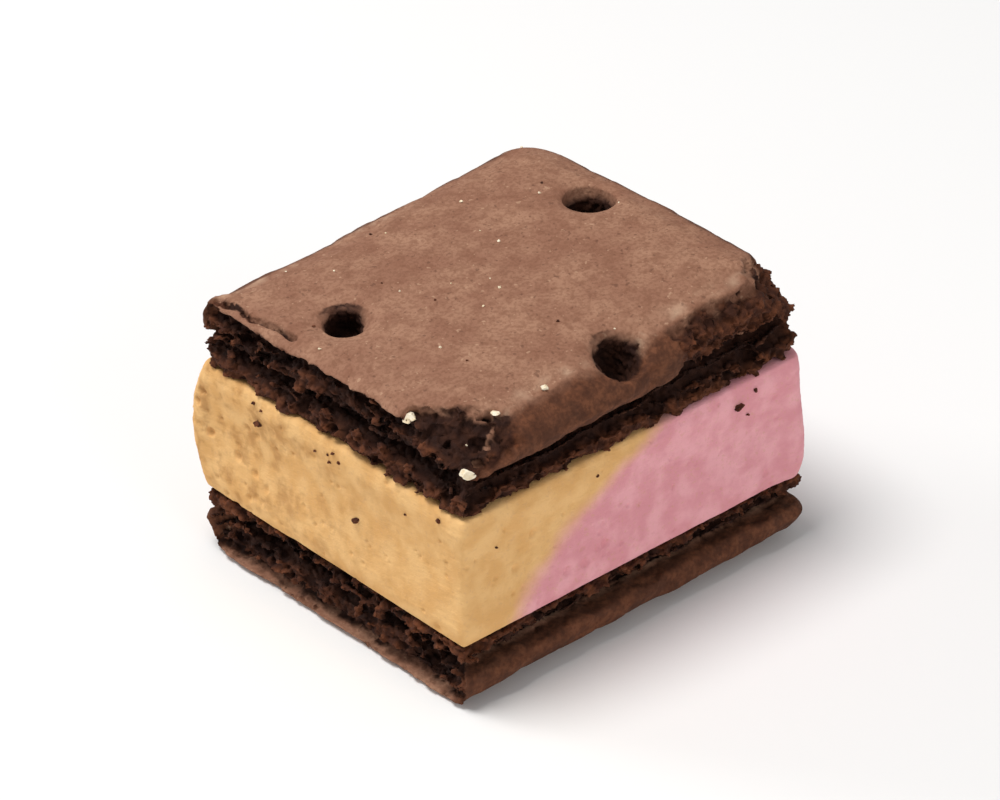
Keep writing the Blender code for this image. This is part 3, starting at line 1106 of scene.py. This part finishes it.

# %% [markdown]
# ## Two tones, pore shade and brown blots
# Each flavour has two tones, close to each other. The open pores get a little painted shade, and the torn
# left end is blotted brown. The colours are laid over one another in that order.

# %% Ice cream material
ice_cream_look, tree = new_finish("dry_ice_cream")
vanilla_blots = between(tree, grain(tree, 2.2 * MM, 5), 0.35, 0.65)
vanilla_tones = blend(tree, vanilla_blots, colour(221, 170, 107), colour(232, 186, 125))
strawberry_blots = between(tree, grain(tree, 2.0 * MM, 5), 0.35, 0.65)
strawberry_tones = blend(tree, strawberry_blots, colour(220, 149, 156), colour(233, 168, 174))
base = blend(tree, strawberry_share(tree), vanilla_tones, strawberry_tones)
# Painted shade: blots of fine grain are painted a little darker, standing in for shade in open pores.
pores = between(tree, grain(tree, 0.28 * MM, 3), 0.56, 0.7)
base = blend(tree, pores, base, colour(206, 160, 118), 0.3)
base = blend(tree, left_end_brown_blots(tree), base, colour(164, 112, 60), 0.6)
drag = grain(tree, 0.6 * MM, stretch=(1, 1, 4))
coat(tree, base, (0.8, 0.98), calc(tree, "ADD", grain(tree, 0.18 * MM, 5), drag), 0.035 * MM)
ice_cream.data.materials.append(ice_cream_look)
print(ice_cream_look.name, "has", len(tree.nodes), "nodes")

# %% [markdown]
# ## Two flavours, two pieces
# The frame keeps the flavours apart, so the finished ice cream is cut along their border, and each half
# closed there with a flat face. The cut's edge is marked sharp, so that shading runs on over the seam.

# %% Cut the ice cream along the border
def half(name, **side):
    """A copy of the ice cream with one flavour cut away."""
    piece = new_object(name, ice_cream.data.copy())
    edit(piece)
    bpy.ops.mesh.bisect(
        plane_co=border_foot, plane_no=towards_strawberry, threshold=0.0, use_fill=True, **side
    )
    bpy.ops.mesh.mark_sharp()
    end_edit()
    print(name, "has", triangles(piece), "triangles")
    return piece


strawberry = half("strawberry_ice_cream", clear_inner=True)
vanilla = half("vanilla_ice_cream", clear_outer=True)
remove(ice_cream)

# %% [markdown]
# ## Loose crumbs
# A few crumbs stuck to the ice cream and the skin: dark ones of wafer, and pale flakes of dry ice cream.
# The larger ones lie where the photograph shows them. Each is dropped straight onto the surface and sinks
# in by about a third.

# %% Find places for loose crumbs
FROM_LEFT, FROM_FRONT, FROM_ABOVE = (1, 0, 0), (0, 1, 0), (0, 0, -1)
FAR = 60 * MM
LIFTED = 0.3
LOOSE_SEED = 21


def lay(landings, draw):
    """Place, turn and size of a crumb for each (piece, start, way, size) that meets the piece."""
    for piece, start, way, size in landings:
        hit, place, normal, _ = piece.ray_cast(Vector(start), Vector(way))
        if hit:
            thin = draw.uniform(0.5, 0.9)
            yield place + normal * size * LIFTED, random_turn(draw), (size, size, size * thin)


def high_up(draw):
    """A height on the ice cream, mostly close under the top wafer that the crumbs fall from."""
    return (16.2 - 4 * draw.random() ** 2) * MM


def dark_landings(draw):
    """Crumbs of wafer on the ice cream and a few on the skin."""
    yield strawberry, (10.2 * MM, -FAR, 15.0 * MM), FROM_FRONT, 0.42 * MM
    yield vanilla, (-FAR, -3.4 * MM, 11.2 * MM), FROM_LEFT, 0.30 * MM
    yield vanilla, (-FAR, 7.5 * MM, 14.6 * MM), FROM_LEFT, 0.34 * MM
    yield strawberry, (-9.0 * MM, -FAR, 9.0 * MM), FROM_FRONT, 0.24 * MM
    for _ in range(9):
        height = high_up(draw)
        yield vanilla, (-FAR, draw.uniform(-14, 13) * MM, height), FROM_LEFT, draw.uniform(0.10, 0.2) * MM
    for flavour in (vanilla, strawberry):
        for _ in range(4):
            height = high_up(draw)
            spread = draw.uniform(-16, 15) * MM
            yield flavour, (spread, -FAR, height), FROM_FRONT, draw.uniform(0.10, 0.2) * MM
    for _ in range(7):
        spread = (draw.uniform(-15, 14) * MM, draw.uniform(-12, 12) * MM, FAR)
        yield top_piece, spread, FROM_ABOVE, draw.uniform(0.07, 0.13) * MM


def pale_landings(draw):
    """Flakes of ice cream on the skin and on the broken front corner."""
    yield top_piece, (-16.9 * MM, -8.6 * MM, FAR), FROM_ABOVE, 0.50 * MM
    yield top_piece, (-16.4 * MM, -14.5 * MM, FAR), FROM_ABOVE, 0.55 * MM
    yield top_piece, (-12.4 * MM, -13.2 * MM, FAR), FROM_ABOVE, 0.30 * MM
    yield top_piece, (-8.0 * MM, -13.6 * MM, FAR), FROM_ABOVE, 0.26 * MM
    for _ in range(18):
        size = draw.uniform(0.06, 0.14) * MM
        yield top_piece, (draw.uniform(-17, 15) * MM, draw.uniform(-14, 13) * MM, FAR), FROM_ABOVE, size


for landings in (dark_landings, pale_landings):
    print(landings.__name__, "drops", len(list(landings(random.Random(LOOSE_SEED)))), "crumbs")

# %% [markdown]
# ## The loose crumbs
# They are too small to show layers, so a grain between two tones is enough. The draw has one seed, which
# puts each crumb in the same place every time.

# %% Make the loose crumbs
def crumb_finish(name, dark, light):
    """A grainy material between two tones."""
    material, tree = new_finish(name)
    base = blend(tree, between(tree, grain(tree, 0.4 * MM), 0.35, 0.65), dark, light)
    coat(tree, base, (0.8, 0.95), grain(tree, 0.15 * MM), 0.03 * MM)
    return material


draw = random.Random(LOOSE_SEED)
dark_crumbs = scatter("loose_wafer_crumbs", crumb_model, lay(dark_landings(draw), draw))
dark_crumbs.data.materials.append(crumb_finish("loose_crumb", colour(58, 31, 21), colour(100, 58, 38)))
pale_crumbs = scatter("loose_ice_cream_flakes", crumb_model, lay(pale_landings(draw), draw))
pale_crumbs.data.materials.append(crumb_finish("loose_flake", colour(226, 206, 170), colour(240, 228, 204)))

# %% [markdown]
# ## Pieces on the frame
# Each dressed piece replaces its solid, which is hidden, and is attached to the frame. The loose crumbs are
# extra, and are attached too. The crumb that was copied is done with.

# %% Put the pieces on the frame
remove(crumb_model)
dressed = ((top_piece, "top_wafer"), (bottom_piece, "bottom_wafer"),
           (vanilla, "vanilla_filling"), (strawberry, "strawberry_filling"))
for piece, node in dressed:
    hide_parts(node)
for piece, node in (*dressed, (dark_crumbs, "top_wafer"), (pale_crumbs, "vanilla_filling")):
    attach(piece, "root")
    print(piece.name, "takes the colour slot", node)

# %% [markdown]
# ## Floor and air
# A plain pale floor, with pale air all round that lights the shadows.

# %% Stage
FLOOR_LEVEL = -0.02 * MM
bpy.ops.mesh.primitive_plane_add(size=3.0, location=(0, 0, FLOOR_LEVEL))
floor = bpy.context.object
floor.name = "floor"
floor_look, tree = new_finish("pale_floor")
tree.nodes["Principled BSDF"].inputs["Base Color"].default_value = colour(238, 237, 235)
floor.data.materials.append(floor_look)
floor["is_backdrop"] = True

world = bpy.data.worlds.new("soft_room")
world.use_nodes = True
air = world.node_tree.nodes["Background"].inputs
air["Color"].default_value = colour(252, 252, 255)
air["Strength"].default_value = 0.34
bpy.context.scene.world = world
bpy.context.scene.view_settings.view_transform = "Standard"
print("the floor is", floor.dimensions.x, "m wide")

# %% [markdown]
# ## Light
# A big soft lamp hangs nearly overhead. A weak one stands in front, and one behind draws the pale rim
# along the back edges.

# %% Lamps
AIM = Vector((0, 0, 12 * MM))
for name, place, size, power in (
    ("key", (-0.13, 0.08, 0.50), 0.26, 2.15),
    ("fill", (0.00, -0.50, 0.22), 0.40, 0.7),
    ("rim", (-0.22, 0.46, 0.20), 0.20, 0.8),
):
    lamp = new_object(name, bpy.data.lights.new(name, "AREA"))
    lamp.data.shape = "DISK"
    lamp.data.size = size
    lamp.data.energy = power
    lamp.location = place
    lamp.rotation_euler = (AIM - Vector(place)).to_track_quat("-Z", "Y").to_euler()
    print(name, "light of", power, "W")

# %% [markdown]
# ## Camera
# It stands where the photograph's did, seen from the piece: 42 degrees to the left of its front side and
# 33 degrees up, with a long lens.

# %% Camera
AZIMUTH = math.radians(-42.3)
ELEVATION = math.radians(33.1)
DISTANCE = 0.47
camera = new_object("camera", bpy.data.cameras.new("camera"))
camera.data.lens = 222
camera.data.sensor_width = 36
to_camera = Vector((
    math.sin(AZIMUTH) * math.cos(ELEVATION), -math.cos(AZIMUTH) * math.cos(ELEVATION), math.sin(ELEVATION)
))
camera.location = (cad_box[0] + cad_box[1]) / 2 + to_camera * DISTANCE
camera.rotation_euler = (-to_camera).to_track_quat("-Z", "Y").to_euler()
bpy.context.scene.camera = camera
print("camera at", [round(part, 3) for part in camera.location])

# %% [markdown]
# ## Sizes at the end
# The boxes of the plain solids and of the dressed piece are printed side by side, to show that the
# surface work kept the size.

# %% Print the sizes
boxes = [[list(corner) for corner in cad_box], [list(corner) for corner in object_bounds()]]
for name, (low, high) in zip(("solids", "dressed"), boxes):
    print(name, "measure", [round((b - a) / MM, 2) for a, b in zip(low, high)], "mm")
